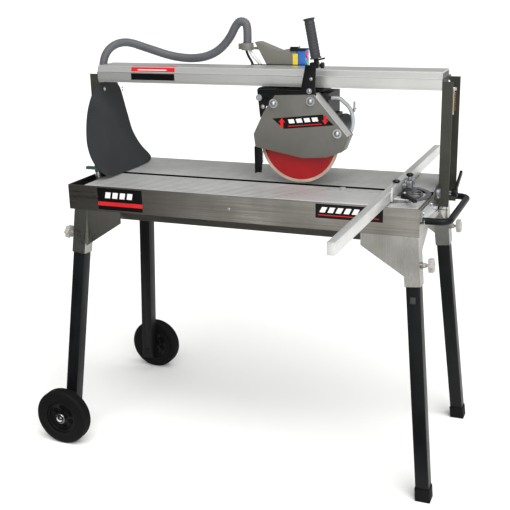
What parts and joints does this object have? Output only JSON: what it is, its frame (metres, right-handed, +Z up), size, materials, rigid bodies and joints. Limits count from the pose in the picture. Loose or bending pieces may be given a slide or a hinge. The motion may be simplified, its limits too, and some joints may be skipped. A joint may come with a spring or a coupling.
{
  "type": "wet tile saw",
  "caption": "Bridge-type wet tile saw: a blade head on a tilting rail over a water tank table, on splayed legs with wheels.",
  "frame": {"origin": "on the floor, at the middle of the machine's overall footprint", "axes": "+X along the cutting rail, from the wheeled end to the footed end; +Y away from the operator; +Z up"},
  "size_m": [1.3326, 1.254, 1.3742],
  "materials": {
    "stainless": "brushed stainless sheet",
    "table_aluminium": "ribbed extrusion, mill finish",
    "anodised_rail": "satin anodised",
    "olive_grey_paint": "semi-gloss powder coat",
    "guard_paint": "satin powder coat",
    "black_paint": "satin powder coat",
    "zinc": "bright zinc plate",
    "chrome": "polished",
    "rubber": "matt moulded rubber",
    "curtain_rubber": "matt sheet rubber",
    "conduit_grey": "ribbed PVC conduit",
    "white_knob": "moulded nylon",
    "black_plastic": "moulded ABS",
    "green_plastic": "moulded nylon",
    "blue_plastic": "moulded ABS",
    "green_button": "moulded ABS",
    "red_button": "moulded ABS",
    "red_blade": "painted steel core",
    "diamond_rim": "sintered diamond segment",
    "motor_grey": "cast and painted",
    "copper": "enamelled copper in a steel stack",
    "steel": "ground",
    "clear_tube": "flexible PVC"
  },
  "bodies": {
    "tank": {"tank_pan": "stainless", "table_front": "table_aluminium", "table_rear": "table_aluminium", "leg_sockets": "stainless", "drain_plug": "rubber", "water_pump": "black_plastic", "water_hose": "clear_tube", "valve_body": "zinc", "pivot_plates": "zinc", "carry_handle": "black_paint", "gauge_plate": "zinc", "support_bolt": "white_knob"},
    "bridge": {"post_left": "olive_grey_paint", "post_right": "olive_grey_paint", "rail": "anodised_rail", "curtain": "curtain_rubber", "conduit": "conduit_grey"},
    "carriage": {"carriage_plate": "black_paint", "pivot_bolt": "zinc", "switch_bracket": "guard_paint", "switch_block": "blue_plastic", "switch_cables": "white_knob"},
    "rollers_left": {"rollers_left": "steel"},
    "rollers_right": {"rollers_right": "steel"},
    "start_button": {"start_button": "green_button"},
    "stop_button": {"stop_button": "red_button"},
    "head": {"motor_casing": "motor_grey", "motor_stator": "copper", "guard_rear": "guard_paint", "guard_front": "guard_paint", "guard_nuts": "chrome", "head_arm": "black_paint", "grip": "rubber", "splash_flap": "rubber", "water_tube": "clear_tube"},
    "plunge_knob": {"plunge_knob": "black_plastic"},
    "water_tap": {"water_tap": "chrome"},
    "blade": {"arbor": "steel", "blade_disc": "red_blade", "blade_rim": "diamond_rim", "blade_flanges": "steel"},
    "valve_lever": {"valve_lever": "green_plastic"},
    "tilt_lever": {"tilt_lever": "black_paint"},
    "fence": {"fence_bar": "anodised_rail"},
    "fence_lever": {"fence_lever": "black_plastic"},
    "support_arm": {"support_arm": "zinc"},
    "leg_front_left": {"leg_front_left": "black_paint"},
    "knob_front_left": {"knob_front_left": "white_knob"},
    "wheel_front_left": {"tyre_front_left": "rubber", "wheel_front_left": "black_plastic"},
    "leg_front_right": {"leg_front_right": "black_paint", "foot_front_right": "rubber"},
    "knob_front_right": {"knob_front_right": "white_knob"},
    "leg_rear_right": {"leg_rear_right": "black_paint", "foot_rear_right": "rubber"},
    "knob_rear_right": {"knob_rear_right": "white_knob"},
    "leg_rear_left": {"leg_rear_left": "black_paint"},
    "knob_rear_left": {"knob_rear_left": "white_knob"},
    "wheel_rear_left": {"tyre_rear_left": "rubber", "wheel_rear_left": "black_plastic"}
  },
  "joints": [
    {"name": "bridge_tilt", "type": "hinge", "parent": "tank", "child": "bridge", "pos_m": [0.0203, 0.067, 0.868], "axis": [1, 0, 0], "range_deg": [0, 45], "deforming": ["curtain"]},
    {"name": "carriage_slide", "type": "slide", "parent": "bridge", "child": "carriage", "axis": [1, 0, 0], "range_m": [-0.45, 0.165], "deforming": ["conduit"]},
    {"name": "rollers_left_spin", "type": "hinge", "parent": "carriage", "child": "rollers_left", "pos_m": [0.0513, 0.148, 1.1818], "axis": [0, 1, 0], "range_deg": [-1900, 700]},
    {"name": "rollers_right_spin", "type": "hinge", "parent": "carriage", "child": "rollers_right", "pos_m": [0.1793, 0.148, 1.1818], "axis": [0, 1, 0], "range_deg": [-1900, 700]},
    {"name": "start_press", "type": "slide", "parent": "carriage", "child": "start_button", "axis": [-1, 0, 0], "range_m": [0, 0.0025], "stiffness_N_per_m": 400, "springref_m": -0.002},
    {"name": "stop_press", "type": "slide", "parent": "carriage", "child": "stop_button", "axis": [-1, 0, 0], "range_m": [0, 0.0025], "stiffness_N_per_m": 400, "springref_m": -0.002},
    {"name": "head_plunge", "type": "hinge", "parent": "carriage", "child": "head", "pos_m": [0.0463, 0.045, 1.137], "axis": [0, 1, 0], "range_deg": [0, 10]},
    {"name": "plunge_knob_turn", "type": "hinge", "parent": "head", "child": "plunge_knob", "pos_m": [0.2443, 0.045, 1.236], "axis": [1, 0, 0], "range_deg": [0, 270]},
    {"name": "water_tap_turn", "type": "hinge", "parent": "head", "child": "water_tap", "pos_m": [0.3129, 0.158, 1.092], "axis": [0, 1, 0], "range_deg": [0, 90]},
    {"name": "blade_spin", "type": "hinge", "parent": "head", "child": "blade", "pos_m": [0.1653, 0.067, 0.9995], "axis": [0, 1, 0], "continuous": true},
    {"name": "valve_turn", "type": "hinge", "parent": "tank", "child": "valve_lever", "pos_m": [-0.5037, -0.026, 0.89], "axis": [0, 0, 1], "range_deg": [0, 90]},
    {"name": "tilt_lever_turn", "type": "hinge", "parent": "tank", "child": "tilt_lever", "pos_m": [0.6343, 0.12806, 0.85723], "axis": [1, 0, 0], "range_deg": [-15, 60]},
    {"name": "fence_swing", "type": "hinge", "parent": "tank", "child": "fence", "pos_m": [0.4823, 0.017, 0.88], "axis": [0, 0, 1], "range_deg": [0, 30]},
    {"name": "fence_lever_turn", "type": "hinge", "parent": "fence", "child": "fence_lever", "pos_m": [0.5238, -0.05488, 0.885], "axis": [0, 0, 1], "range_deg": [0, 65]},
    {"name": "support_swing", "type": "hinge", "parent": "tank", "child": "support_arm", "pos_m": [0.3183, 0.02, 0.87], "axis": [0, 0, -1], "range_deg": [0, 40]},
    {"name": "leg_front_left_slide", "type": "slide", "parent": "tank", "child": "leg_front_left", "axis": [-0.0937, -0.0937, -0.9912], "range_m": [0, 0.1]},
    {"name": "knob_front_left_turn", "type": "hinge", "parent": "tank", "child": "knob_front_left", "pos_m": [-0.55975, -0.12455, 0.70499], "axis": [-0.9956, 0.0044, 0.0937], "range_deg": [0, 180]},
    {"name": "wheel_front_left_spin", "type": "hinge", "parent": "leg_front_left", "child": "wheel_front_left", "pos_m": [-0.5723, -0.238, 0.094], "axis": [0, 1, 0], "continuous": true},
    {"name": "leg_front_right_slide", "type": "slide", "parent": "tank", "child": "leg_front_right", "axis": [0.0937, -0.0937, -0.9912], "range_m": [0, 0.1]},
    {"name": "knob_front_right_turn", "type": "hinge", "parent": "tank", "child": "knob_front_right", "pos_m": [0.61435, -0.12455, 0.70499], "axis": [0.9956, 0.0044, 0.0937], "range_deg": [0, 180]},
    {"name": "leg_rear_right_slide", "type": "slide", "parent": "tank", "child": "leg_rear_right", "axis": [0.0937, 0.0937, -0.9912], "range_m": [0, 0.1]},
    {"name": "knob_rear_right_turn", "type": "hinge", "parent": "tank", "child": "knob_rear_right", "pos_m": [0.61435, 0.30855, 0.70499], "axis": [0.9956, -0.0044, 0.0937], "range_deg": [0, 180]},
    {"name": "leg_rear_left_slide", "type": "slide", "parent": "tank", "child": "leg_rear_left", "axis": [-0.0937, 0.0937, -0.9912], "range_m": [0, 0.1]},
    {"name": "knob_rear_left_turn", "type": "hinge", "parent": "tank", "child": "knob_rear_left", "pos_m": [-0.55975, 0.30855, 0.70499], "axis": [-0.9956, -0.0044, 0.0937], "range_deg": [0, 180]},
    {"name": "wheel_rear_left_spin", "type": "hinge", "parent": "leg_rear_left", "child": "wheel_rear_left", "pos_m": [-0.5723, 0.422, 0.094], "axis": [0, 1, 0], "continuous": true}
  ],
  "couplings": [
    {"joint": "rollers_left_spin", "follows": "carriage_slide", "rad_per_m": 71.429},
    {"joint": "rollers_right_spin", "follows": "carriage_slide", "rad_per_m": 71.429}
  ]
}
